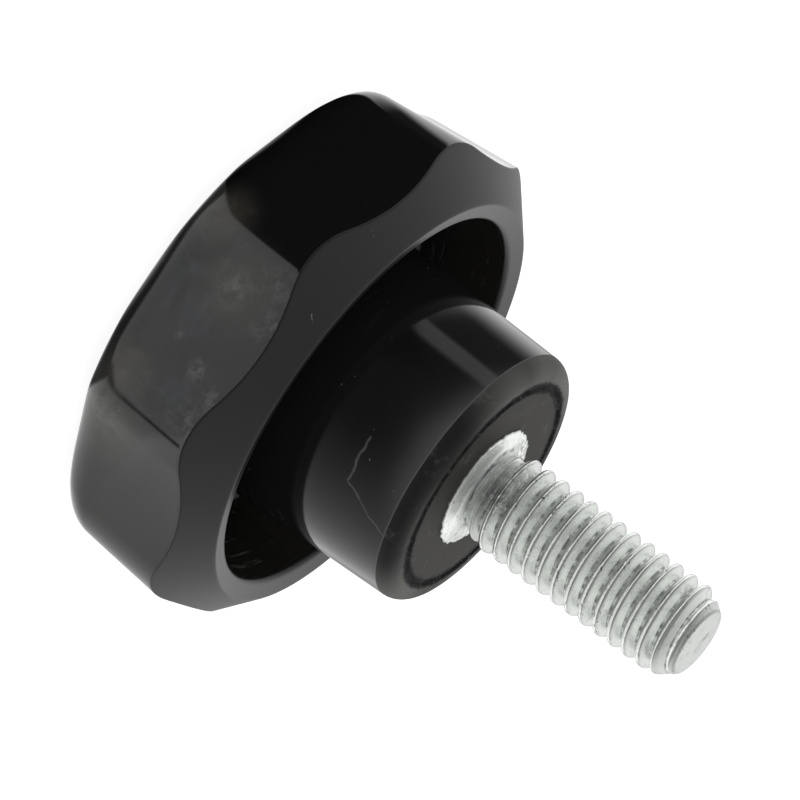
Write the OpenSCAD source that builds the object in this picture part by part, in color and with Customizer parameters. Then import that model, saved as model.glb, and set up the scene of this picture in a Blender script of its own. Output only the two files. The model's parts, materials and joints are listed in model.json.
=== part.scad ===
// Star knob: a lobed head moulded round the insert of a threaded steel stud.
// Millimetres and degrees. +Z runs along the stud, and the head stands on its
// front face at z = 0, with the stud pointing up.

/* [Head] */
// Radius over the lobes, where they are widest
lobe_r = 15.9; // [14:0.1:22]
// Number of lobes
lobes = 8; // [6:1:12]
// Corner radius of a lobe where it is widest
lobe_corner = 5; // [3.5:0.1:6]
// How far each side is hollowed in from flat
side_hollow = 0.17; // [0.05:0.01:0.4]
// Draft of the sides, narrower towards the front
side_draft = 6; // [1:0.5:8]
// Depth of the head, from front face to rim
head_depth = 10.6; // [9:0.1:16]
// Radius of the rounding turned on the front edge
front_round = 4.8; // [2:0.1:6]
// How far the turned rounding starts outside the lobes
round_over = 0.1; // [0.05:0.05:0.5]

/* [Rim] */
// Outer radius of the flat land round the hollow
rim_r = 13.2; // [12.6:0.1:13.6]
// Angle at which the rim falls away to the lobes
rim_fall = 43; // [20:1:50]
// How far the land dips towards the hollow
land_dip = 0.3; // [0.1:0.05:0.6]

/* [Hollow] */
// Radius of the hollow at its mouth
hollow_r = 12; // [11:0.1:12.4]
// Thickness of the web between the hollow and the front face
web = 4.1; // [2.5:0.1:6]
// Radius in both corners of the hollow's floor
floor_round = 1.2; // [0.5:0.1:1.4]
// Draft of the hollow's wall
wall_draft = 1.5; // [0.5:0.5:3]

/* [Hub] */
// Radius of the hub at its end
hub_r = 8; // [7:0.1:8.5]
// Height of the hub above the rim
hub_rise = 8; // [4:0.1:14]
// Draft of the hub's side
hub_draft = 3; // [0.5:0.5:3.5]
// Radius on the edge of the hub's end
hub_round = 0.55; // [0.2:0.05:0.9]
// Mean radius of the ring groove in the hub's end
ring_r = 6.45; // [5.2:0.05:6.6]
// Width of the ring groove
ring_w = 0.4; // [0.2:0.05:0.8]
// Depth of the ring groove
ring_depth = 0.15; // [0.05:0.05:0.4]

/* [Stud] */
// Outer radius of the thread
stud_r = 2.9; // [2.4:0.1:3.2]
// Length of stud that stands out of the hub
stud_out = 15.1; // [8:0.1:40]
// Length of the chamfer at the tip
tip_chamfer = 0.8; // [0.4:0.1:1.2]
// Angle of the tip's chamfer, from the stud's axis
tip_angle = 45; // [30:1:60]
// Radius of the flare where the stud meets the insert
stud_flare = 0.55; // [0.3:0.05:0.7]

/* [Thread] */
// Distance from one crest of the thread to the next
pitch = 1; // [0.8:0.05:1.5]
// Depth of the thread, from crest to root
thread_depth = 0.61; // [0.4:0.01:0.7]
// Width of a crest
crest_w = 0.2; // [0.1:0.01:0.3]
// Angle of a flank, from square to the axis
flank_angle = 30; // [20:1:35]
// Height of the first crest above the hub's end
first_crest = 1; // [0.8:0.05:1.5]

/* [Insert] */
// Outer radius of the knurled insert
insert_r = 3.7; // [3.5:0.1:4.6]
// Length of the insert inside the hub
insert_l = 11; // [7:0.1:13]
// How far the insert stands proud of the hub's end
insert_proud = 0.15; // [0.05:0.05:0.4]
// Number of ridges round the knurl
knurl_ridges = 24; // [12:1:36]
// Depth of the knurl
knurl_depth = 0.3; // [0.1:0.05:0.4]
// Width of the grooves that lock the insert in the moulding
lock_w = 1.6; // [1:0.1:2]
// Number of locking grooves
locks = 2; // [1:1:3]
// Depth of a locking groove below the ridges
lock_depth = 0.6; // [0.45:0.05:0.9]

/* [Hidden] */
$fn = 96;

moulding_black = [0.03, 0.03, 0.035];
zinc_plate = [0.78, 0.80, 0.78];

// Overlap that a cutting shape runs past the face it cuts
cut_past = 1;

// How much deeper than tangent a side is hollowed, so that it meets the lobes in a clean edge
side_bite = 0.01;

// Heights up the axis
hub_top = head_depth + hub_rise;
stud_top = hub_top + stud_out;

// Thread: its root radius, its crests, and how far a flank reaches along the axis
thread_root_r = stud_r - thread_depth;
crests = floor((stud_out - first_crest) / pitch) + 1;
flank_w = thread_depth * tan(flank_angle);

// Lobes: each corner is an upright cone, and each side is hollowed by a wide one
lobe_step = 360 / lobes;
corner_at = lobe_r - lobe_corner;
side_flat = corner_at * cos(lobe_step / 2) + lobe_corner;
side_at = side_flat - side_hollow;
side_hollow_r = (pow(side_at, 2) + pow(corner_at, 2) - pow(lobe_corner, 2)
                 - 2 * corner_at * cos(lobe_step / 2) * side_at) / (2 * side_hollow);
side_centre_at = side_at + side_hollow_r;

// Height at which the rim's fall reaches the lobes, where they are widest
lobe_top = head_depth - (lobe_r - rim_r) * tan(rim_fall);

// Front rounding
blank_r = lobe_r + round_over;
front_flat_r = blank_r - front_round;

// Radius of a drafted wall at a height above or below where its radius is given
function drafted(r, draft, dz) = r + dz * tan(draft);

// Middle of a rounding that touches a level face and a drafted wall
function wall_round_at(wall_x, draft, radius) = wall_x - radius / cos(draft);

// Corners of a star outline that steps between two radii
function star(r_out, r_in, points) =
    [for (i = [0 : 2 * points - 1])
        let (r = i % 2 == 0 ? r_out : r_in, a = i * 180 / points)
        [r * cos(a), r * sin(a)]];

// An upright cone that has the radius r at lobe_top and the sides' draft
module drafted_cone(r, draft) {
    low = -cut_past;
    high = hub_top + cut_past;
    translate([0, 0, low])
        cylinder(h = high - low, r1 = drafted(r, draft, low - lobe_top),
                 r2 = drafted(r, draft, high - lobe_top));
}

module at_lobes(distance, turn = 0) {
    for (i = [0 : lobes - 1])
        rotate([0, 0, i * lobe_step + turn])
            translate([distance, 0, 0])
                children();
}

// The lobed outline, drafted, taller than the head
module lobed_body() {
    difference() {
        linear_extrude(height = hub_top)
            polygon(star(corner_at, side_centre_at, lobes));
        at_lobes(side_centre_at, lobe_step / 2)
            drafted_cone(side_hollow_r + side_bite, -side_draft);
    }
    intersection() {
        linear_extrude(height = hub_top)
            circle(r = lobe_r + head_depth);
        at_lobes(corner_at)
            drafted_cone(lobe_corner, side_draft);
    }
}

// The turned outside: front face, front rounding, and the rim that falls to the lobes
module turned_blank() {
    rotate_extrude() {
        polygon([
            [0, 0],
            [front_flat_r, 0],
            [front_flat_r, front_round],
            [blank_r, front_round],
            [blank_r, head_depth - (blank_r - rim_r) * tan(rim_fall)],
            [rim_r, head_depth],
            [hollow_r, head_depth - land_dip],
            [0, head_depth - land_dip]
        ]);
        intersection() {
            translate([front_flat_r, front_round])
                circle(r = front_round);
            square([blank_r, front_round]);
        }
    }
}

// The ring-shaped hollow between rim and hub, with rounded floor corners
module hollow() {
    mouth = head_depth - land_dip;
    round_z = web + floor_round;
    outer_x = drafted(hollow_r, wall_draft, round_z - mouth);
    outer_at = wall_round_at(outer_x, wall_draft, floor_round);
    inner_x = drafted(hub_r, -hub_draft, round_z - hub_top);
    inner_at = -wall_round_at(-inner_x, hub_draft, floor_round);
    high = hub_top + cut_past;
    rotate_extrude() {
        polygon([
            [inner_at, web],
            [outer_at, web],
            [outer_at + floor_round * cos(wall_draft), round_z - floor_round * sin(wall_draft)],
            [drafted(hollow_r, wall_draft, high - mouth), high],
            [drafted(hub_r, -hub_draft, high - hub_top), high],
            [inner_at - floor_round * cos(hub_draft), round_z - floor_round * sin(hub_draft)]
        ]);
        translate([outer_at, round_z])
            circle(r = floor_round);
        translate([inner_at, round_z])
            circle(r = floor_round);
    }
}

// The drafted hub with its rounded end, from inside the web up
module hub() {
    root_r = drafted(hub_r, -hub_draft, web - hub_top);
    round_z = hub_top - hub_round;
    round_at = wall_round_at(drafted(hub_r, -hub_draft, -hub_round), -hub_draft, hub_round);
    rotate_extrude() {
        polygon([
            [0, web - cut_past],
            [root_r, web - cut_past],
            [root_r, web],
            [round_at + hub_round * cos(hub_draft), round_z + hub_round * sin(hub_draft)],
            [round_at, hub_top],
            [0, hub_top]
        ]);
        translate([round_at, round_z])
            circle(r = hub_round);
    }
}

// The ring groove left in the hub's end
module ring_groove() {
    translate([0, 0, hub_top - ring_depth])
        difference() {
            cylinder(h = ring_depth + cut_past, r = ring_r + ring_w / 2);
            translate([0, 0, -cut_past])
                cylinder(h = ring_depth + 3 * cut_past, r = ring_r - ring_w / 2);
        }
}

// The knurled insert with its locking grooves, up to a height above the hub's end
module insert_body(above) {
    low = hub_top - insert_l;
    land = (insert_l - locks * lock_w) / (locks + 1);
    difference() {
        translate([0, 0, low])
            linear_extrude(height = insert_l + above)
                polygon(star(insert_r, insert_r - knurl_depth, knurl_ridges));
        for (i = [1 : locks])
            translate([0, 0, low + i * land + (i - 1) * lock_w])
                difference() {
                    cylinder(h = lock_w, r = insert_r + cut_past);
                    translate([0, 0, -cut_past])
                        cylinder(h = lock_w + 2 * cut_past, r = insert_r - lock_depth);
                }
    }
}

module knob_head() {
    color(moulding_black)
        difference() {
            union() {
                difference() {
                    intersection() {
                        turned_blank();
                        lobed_body();
                    }
                    hollow();
                }
                hub();
            }
            ring_groove();
            insert_body(cut_past);
        }
}

// Half section of the stud's bare shank, with its flare and the thread's ridges, one for each turn
module threaded_section() {
    foot = hub_top + insert_proud;
    square([thread_root_r, stud_top]);
    difference() {
        translate([0, foot])
            square([thread_root_r + stud_flare, stud_flare]);
        translate([thread_root_r + stud_flare, foot + stud_flare])
            circle(r = stud_flare);
    }
    for (i = [0 : crests - 1])
        translate([0, hub_top + first_crest + i * pitch])
            polygon([
                [0, -crest_w / 2 - flank_w],
                [thread_root_r, -crest_w / 2 - flank_w],
                [stud_r, -crest_w / 2],
                [stud_r, crest_w / 2],
                [thread_root_r, crest_w / 2 + flank_w],
                [0, crest_w / 2 + flank_w]
            ]);
}

module threaded_stud() {
    tip_r = stud_r - tip_chamfer * tan(tip_angle);
    color(zinc_plate) {
        insert_body(insert_proud);
        rotate_extrude()
            intersection() {
                threaded_section();
                polygon([
                    [0, hub_top],
                    [stud_r, hub_top],
                    [stud_r, stud_top - tip_chamfer],
                    [tip_r, stud_top],
                    [0, stud_top]
                ]);
            }
    }
}

knob_head();
threaded_stud();
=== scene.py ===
"""Star knob: a glossy moulded head and a zinc-plated threaded stud, dressed round their frame."""
import json
import math

import bmesh
import bpy
from bpy.props import FloatProperty, FloatVectorProperty, IntProperty, PointerProperty
from mathutils import Matrix, Vector


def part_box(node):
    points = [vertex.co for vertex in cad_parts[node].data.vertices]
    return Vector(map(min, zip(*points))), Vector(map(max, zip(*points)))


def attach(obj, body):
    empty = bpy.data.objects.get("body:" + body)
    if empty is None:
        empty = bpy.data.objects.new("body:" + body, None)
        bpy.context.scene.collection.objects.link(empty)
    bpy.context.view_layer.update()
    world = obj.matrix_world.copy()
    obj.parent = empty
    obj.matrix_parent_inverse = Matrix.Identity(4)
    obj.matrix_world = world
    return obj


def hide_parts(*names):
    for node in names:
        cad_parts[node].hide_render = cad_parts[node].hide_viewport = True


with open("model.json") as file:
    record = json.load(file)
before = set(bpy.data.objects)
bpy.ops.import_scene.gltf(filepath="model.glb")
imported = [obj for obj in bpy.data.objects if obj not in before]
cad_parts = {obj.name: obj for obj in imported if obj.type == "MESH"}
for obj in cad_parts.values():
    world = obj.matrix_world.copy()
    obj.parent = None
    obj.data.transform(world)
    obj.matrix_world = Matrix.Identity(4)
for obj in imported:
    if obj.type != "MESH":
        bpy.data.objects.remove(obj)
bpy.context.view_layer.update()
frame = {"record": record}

bl_info = {
    "name": "Star Knob",
    "version": (1, 0, 0),
    "blender": (4, 5, 0),
    "location": "View3D > Sidebar > Star Knob",
    "description": "Models a moulded star knob with a threaded stud round its frame",
    "category": "Object",
}

MM = 0.001
BODY = "root"
MOUNTS = {mount["name"]: mount for mount in frame["record"]["mounts"]}
HEAD_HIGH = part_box("knob_head")[1]
STUD_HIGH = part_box("threaded_stud")[1]
HUB_TOP = MOUNTS["hub_seat"]["pos_m"][2]
THREAD_R = MOUNTS["stud"]["dims"]["r_mm"] * MM


def length(name, description, default):
    return FloatProperty(name=name, description=description, default=default, unit="LENGTH", precision=6)


def angle(name, description, degrees):
    return FloatProperty(name=name, description=description, default=math.radians(degrees),
                         subtype="ANGLE")


def colour(name, description, default):
    return FloatVectorProperty(name=name, description=description, default=default,
                               subtype="COLOR", min=0, max=1)


class StarKnobHeadSizes(bpy.types.PropertyGroup):
    lobe_r: length("Lobe radius", "Radius over the lobes, where they are widest", HEAD_HIGH.x)
    lobes: IntProperty(name="Lobes", description="Number of lobes", default=8, min=5, max=12)
    lobe_corner: length("Lobe corner", "Corner radius of a lobe where it is widest", 4.87 * MM)
    side_hollow: length("Side hollow", "How far each side is hollowed in from flat", 0.2 * MM)
    side_draft: angle("Side draft", "Draft of the sides, narrower to the front", 5.1)
    head_depth: length("Head depth", "Depth of the head, from front face to rim", 10.6 * MM)
    flat_r: length("Front flat", "Radius of the flat middle of the front", 11.1 * MM)
    front_round: length("Front rounding", "Radius to which the front bows up from its flat", 5.66 * MM)
    side_round: length("Side rounding", "Radius between the bowed front and the sides", 2.73 * MM)
    rim_r: length("Rim radius", "Outer radius of the land round the hollow", 13.16 * MM)
    rim_fall: angle("Rim fall", "Angle at which the rim falls away to the lobes", 42.1)
    land_dip: length("Land dip", "How far the land dips towards the hollow", 0.27 * MM)
    hollow_r: length("Hollow radius", "Radius of the hollow at its mouth", 12 * MM)
    web: length("Web", "Thickness between the hollow and the front face", 4.1 * MM)
    floor_round: length("Floor rounding", "Radius in the corners of the hollow", 1.2 * MM)
    wall_draft: angle("Wall draft", "Draft of the hollow's wall", 1.5)
    hub_r: length("Hub radius", "Radius of the hub at its end", 8 * MM)
    hub_draft: angle("Hub draft", "Draft of the hub's side", 2)
    hub_round: length("Hub rounding", "Radius on the edge of the hub's end", 1 * MM)
    ring_r: length("Ring radius", "Mean radius of the ring groove in the hub's end", 6.48 * MM)
    ring_w: length("Ring width", "Width of the ring groove", 0.4 * MM)
    ring_depth: length("Ring depth", "Depth of the ring groove", 0.15 * MM)
    ring_rough: length("Ring roughness", "How far the ring groove wanders", 0.05 * MM)
    seat_r: length("Seat radius", "Radius of the seat that the insert fills", 3.3 * MM)
    seat_depth: length("Seat depth", "Depth of that seat below the hub's end", 0.6 * MM)
    edge_break: length("Edge break", "Width of the softened edges", 0.06 * MM)
    mouth_round: length("Mouth rounding", "Radius on the mouth of the hollow", 0.35 * MM)
    around: IntProperty(name="Steps round", description="Steps round the head", default=384)


class StarKnobStudSizes(bpy.types.PropertyGroup):
    thread_r: length("Thread radius", "Outer radius of the thread", THREAD_R)
    pitch: length("Pitch", "Advance of the thread in one turn", 1 * MM)
    thread_depth: length("Thread depth", "Depth from crest to root", 0.58 * MM)
    crest_w: length("Crest width", "Width of the crest before it is rounded", 0.26 * MM)
    crest_round: length("Crest rounding", "Radius on both edges of the crest", 0.2 * MM)
    root_round: length("Root rounding", "Radius in the root", 0.055 * MM)
    flank: angle("Flank angle", "Angle of a flank from square to the axis", 30)
    phase: angle("Phase", "Turn of the thread about the axis", 119)
    fade: length("Run-out", "Length over which the thread rises from the collar", 1.1 * MM)
    collar_r: length("Collar radius", "Mean radius of the bright collar", 3.72 * MM)
    collar_ragged: length("Collar raggedness", "How far the collar's edge wanders", 0.14 * MM)
    collar_proud: length("Collar height", "How far the collar stands off the hub", 0.15 * MM)
    collar_sunk: length("Collar depth", "How far the collar reaches into its seat", 0.45 * MM)
    flare: length("Flare", "Radius of the flare between shank and collar", 0.55 * MM)
    tip_r: length("Tip radius", "Radius of the end face before its edge is rounded", 2.2 * MM)
    tip_chamfer: length("Tip chamfer", "Length of the chamfer at the tip", 0.95 * MM)
    tip_soft: length("Tip softness", "How softly thread and chamfer meet", 0.16 * MM)
    tip_round: length("Tip rounding", "Radius on the edge of the end face", 0.22 * MM)
    around: IntProperty(name="Steps round", description="Steps in a turn", default=96)


class StarKnobColours(bpy.types.PropertyGroup):
    moulding: colour("Moulding", "Glossy black of the moulding", (0.0085, 0.0085, 0.009))
    film: colour("Film", "Bluish film of handling on the gloss", (0.070, 0.080, 0.100))
    # Also used for painted light: a painted pool of light beside the foot, and painted sheen on the
    # hollow's wall.
    warm_film_and_sheen: colour("Warm film", "Brownish film of handling on the gloss", (0.110, 0.105, 0.086))
    smudge: colour("Smudge", "Pale grey of smudges on the gloss", (0.17, 0.17, 0.165))
    # Also used for the painted highlight streaks on the hollow's wall.
    dust: colour("Dust", "Pale grey of dust and scuffs", (0.20, 0.20, 0.19))
    trimmed: colour("Trimmed", "Satin black where the rim was trimmed", (0.012, 0.012, 0.0115))
    hub_end: colour("Hub end", "Brownish black of the hub's end", (0.026, 0.024, 0.020))
    zinc: colour("Zinc", "Bright zinc plating", (0.92, 0.95, 0.92))
    # Also used for painted shade in the thread's roots and at its foot.
    tarnish_and_shade: colour("Tarnish", "Dark marks in the plating", (0.05, 0.055, 0.05))


class StarKnobStageSizes(bpy.types.PropertyGroup):
    azimuth: angle("Azimuth", "Turn of the camera round the axis", 17.18)
    elevation: angle("Elevation", "Height of the camera above the front face's plane", 18.52)
    roll: angle("Roll", "Turn of the picture, clockwise", 126.17)
    distance: length("Distance", "Camera to the middle of the rim", 385.5 * MM)
    frame_w: length("Frame width", "Width of the picture at the rim", 44.1 * MM)
    shift_right: length("Right", "How far the picture's middle lies right of the rim", 1.552 * MM)
    shift_up: length("Up", "How far the picture's middle lies above the rim", 0.238 * MM)
    floor_w: length("Floor width", "Width of the floor", 3.0)
    light: FloatProperty(name="Light", description="Strength of the even light", default=0.8)
    bright_side: angle("Bright side", "Turn round the axis of the sky's brightest place", 107)
    bright_rise: angle("Bright rise", "Height of the sky's brightest place", 32)


# ---- outlines

HALVINGS = 40  # enough to place a crossing far below a thousandth of a millimetre
SLOPE_FROM, SLOPE_TO = 2 * MM, 4 * MM  # heights between which a side's slope is taken


def drafted(radius, draft, rise):
    """Radius of a drafted wall at a height above the place where its radius is given."""
    return radius + rise * math.tan(draft)


def lobe_top(s):
    """Height at which the falling rim reaches the lobes."""
    return s.head_depth - (s.lobe_r - s.rim_r) * math.tan(s.rim_fall)


def lobe_radius(s, turn, z):
    """Radius of the drafted, lobed side at an angle round the axis and a height."""
    half = math.pi / s.lobes
    corner_at = s.lobe_r - s.lobe_corner
    side_at = corner_at * math.cos(half) + s.lobe_corner - s.side_hollow
    hollow_r = (side_at ** 2 + corner_at ** 2 - s.lobe_corner ** 2
                - 2 * corner_at * math.cos(half) * side_at) / (2 * s.side_hollow)
    centre_at = side_at + hollow_r
    rise = z - lobe_top(s)
    corner = drafted(s.lobe_corner, s.side_draft, rise)
    hollow = drafted(hollow_r, -s.side_draft, rise)
    towards = math.atan2(centre_at * math.sin(half), centre_at * math.cos(half) - corner_at)
    meet = math.atan2(corner * math.sin(towards), corner_at + corner * math.cos(towards))
    off = abs((turn + half) % (2 * half) - half)
    if off < meet:
        return corner_at * math.cos(off) + math.sqrt(corner ** 2 - (corner_at * math.sin(off)) ** 2)
    off = half - off
    return centre_at * math.cos(off) - math.sqrt(hollow ** 2 - (centre_at * math.sin(off)) ** 2)


def crossing(difference, low, high):
    """Where a rising difference passes zero, by halving."""
    for _ in range(HALVINGS):
        middle = (low + high) / 2
        low, high = (middle, high) if difference(middle) < 0 else (low, middle)
    return (low + high) / 2


def side_foot(s, turn):
    """Rounding between the bowed front and the side: where it leaves and ends, and its middle.

    The side counts as straight in the section, and the rounding touches both from inside.
    """
    low_r = lobe_radius(s, turn, SLOPE_FROM)
    slope = (lobe_radius(s, turn, SLOPE_TO) - low_r) / (SLOPE_TO - SLOPE_FROM)
    inset = s.side_round * math.sqrt(1 + slope ** 2)
    side = low_r - slope * SLOPE_FROM - inset
    out = side - s.flat_r
    reach = s.front_round - s.side_round
    a = 1 + slope ** 2
    b = 2 * (slope * out - s.front_round)
    c = out ** 2 + s.front_round ** 2 - reach ** 2
    rise = (-b - math.sqrt(b ** 2 - 4 * a * c)) / (2 * a)
    middle = (side + slope * rise, rise)
    leave = math.atan2(rise - s.front_round, middle[0] - s.flat_r)
    return leave, math.atan2(-slope, 1), middle


def arc(centre, radius, start, end, steps):
    """Points on an arc in the plane of the axis, as (radius, height)."""
    return [(centre[0] + radius * math.cos(a), centre[1] + radius * math.sin(a))
            for a in (start + (end - start) * i / steps for i in range(steps + 1))]


def rounded(corners, radii, steps):
    """A line through corners, with each inner corner rounded to its radius."""
    line = [Vector(corners[0])]
    for before, corner, after, radius in zip(corners, corners[1:], corners[2:], radii):
        here = Vector(corner)
        back = (Vector(before) - here).normalized()
        on = (Vector(after) - here).normalized()
        half = back.angle(on) / 2
        start, end = here + back * radius / math.tan(half), here + on * radius / math.tan(half)
        centre = here + (back + on).normalized() * radius / math.sin(half)
        first, last = (start - centre).normalized(), (end - centre).normalized()
        line += [centre + radius * first.slerp(last, i / steps) for i in range(steps + 1)]
    return line + [Vector(corners[-1])]


# ---- mesh tools

AXIS_R = 1e-6  # radius of a ring that is about to be merged on the axis
LEVEL = 1e-7  # how closely a point counts as lying at a height
TOUCHING = MM / 1000  # how close two points lie to be merged


def name_new(name):
    """Names the primitive that was just added and returns it."""
    piece = bpy.context.object
    piece.name = piece.data.name = name
    return piece


def new_plane(name, size, height=0.0):
    """A flat square about the axis, alone selected."""
    bpy.ops.object.select_all(action="DESELECT")
    bpy.ops.mesh.primitive_plane_add(size=size, location=(0, 0, height))
    piece = name_new(name)
    bpy.ops.object.transform_apply(location=True, rotation=True, scale=True)
    return piece


def edit_points():
    """Enters edit mode with every point selected."""
    bpy.ops.object.mode_set(mode="EDIT")
    bpy.ops.mesh.select_mode(type="VERT")
    bpy.ops.mesh.select_all(action="SELECT")


def new_ring(name, steps, radius):
    """A ring of edges at the foot of the axis to extrude from, in edit mode."""
    bpy.ops.object.select_all(action="DESELECT")
    bpy.ops.mesh.primitive_circle_add(vertices=steps, radius=radius, location=(0, 0, 0))
    piece = name_new(name)
    edit_points()
    return piece


def place_ring(piece, place, number):
    """Moves the selected ring to place(angle) = (radius, height) and numbers its vertices."""
    shape = bmesh.from_edit_mesh(piece.data)
    layer = shape.verts.layers.int.get("ring") or shape.verts.layers.int.new("ring")
    for vert in shape.verts:
        if vert.select:
            turn = math.atan2(vert.co.y, vert.co.x)
            radius, height = place(turn)
            vert.co = (radius * math.cos(turn), radius * math.sin(turn), height)
            vert[layer] = number
    bmesh.update_edit_mesh(piece.data)


def next_ring(piece, place, number=-1):
    """Extrudes the selected ring and moves the new one to its place."""
    bpy.ops.mesh.extrude_edges_move()
    place_ring(piece, place, number)


def round_rings(piece, points):
    """Extrudes the selected ring through true circles, given as (radius, height) points."""
    for point in points:
        next_ring(piece, lambda turn, p=point: p)


def close_ring(piece, height):
    """Extrudes the selected ring to the axis at a height and merges it there."""
    round_rings(piece, [(AXIS_R, height)])
    bpy.ops.mesh.merge(type="CENTER")


def select_edges(piece, wanted):
    """Selects the edges that are wanted, by a test on an edge and its two rings' numbers."""
    bpy.ops.mesh.select_mode(type="EDGE")
    bpy.ops.mesh.select_all(action="DESELECT")
    shape = bmesh.from_edit_mesh(piece.data)
    layer = shape.verts.layers.int.get("ring") or shape.verts.layers.int.new("ring")
    for edge in shape.edges:
        edge.select = wanted(edge, *(vert[layer] for vert in edge.verts))
    shape.select_flush_mode()
    bmesh.update_edit_mesh(piece.data)


def select_rings(piece, numbers):
    """Selects the edges that run round the rings with these numbers."""
    select_edges(piece, lambda edge, a, b: a == b and a in numbers)


def select_level(piece, height):
    """Selects the open edges at a height."""
    select_edges(piece, lambda edge, a, b: edge.is_boundary and all(
        abs(vert.co.z - height) < LEVEL for vert in edge.verts))
    bpy.ops.mesh.select_mode(type="VERT")


def finish_piece(piece, materials):
    """Leaves edit mode with faces outwards and smooth, and gives the piece its materials."""
    bpy.ops.mesh.select_all(action="SELECT")
    bpy.ops.mesh.normals_make_consistent(inside=False)
    bpy.ops.object.mode_set(mode="OBJECT")
    bpy.ops.object.shade_smooth()
    for material in materials:
        piece.data.materials.append(material)
    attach(piece, BODY)


# ---- head

GLOSS, TRIMMED, HUB_END = range(3)

# Where rings lie, as shares of the way along the part of the outline that they are on
FLAT_RINGS = (0.3, 0.6, 0.85, 0.97, 1)
SIDE_RINGS = (0, 0.05, 0.12, 0.25, 0.4, 0.55, 0.7, 0.85, 0.95)
RIM_RINGS = (0.06, 0.2, 0.4, 0.6, 0.8, 0.92)
LAND_RINGS = (0.15, 0.5, 0.85)
WALL_RINGS = (0.1, 0.2, 0.4, 0.6, 0.8)
HUB_RINGS = (0.08, 0.25, 0.45, 0.65, 0.85, 0.96, 0.995)
FRONT_STEPS, FOOT_STEPS, MOUTH_STEPS, ROUND_STEPS = 8, 15, 6, 8

HUB_END_FROM = 0.85  # share of the hub's rounding, from its top down, that has the end's finish
GROOVE_WAVES = ((11, 1), (23, 2.3), (41, 4.1))  # waves round, and how each ring's are turned
GROOVE_FLOOR = 0.55  # width of the groove's floor, as a share of the groove's
GROOVE_EDGE = 0.12 * MM  # plain band beside the groove
DEPTH_WAVES, DEPTH_CHANGE = 17, 0.3  # waves round in the groove's depth, and their size
END_RINGS = (5.4 * MM, 4.6 * MM)  # radii of the rings between the groove and the seat
SEAT_EDGE = 0.1 * MM  # plain band round the seat


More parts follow.
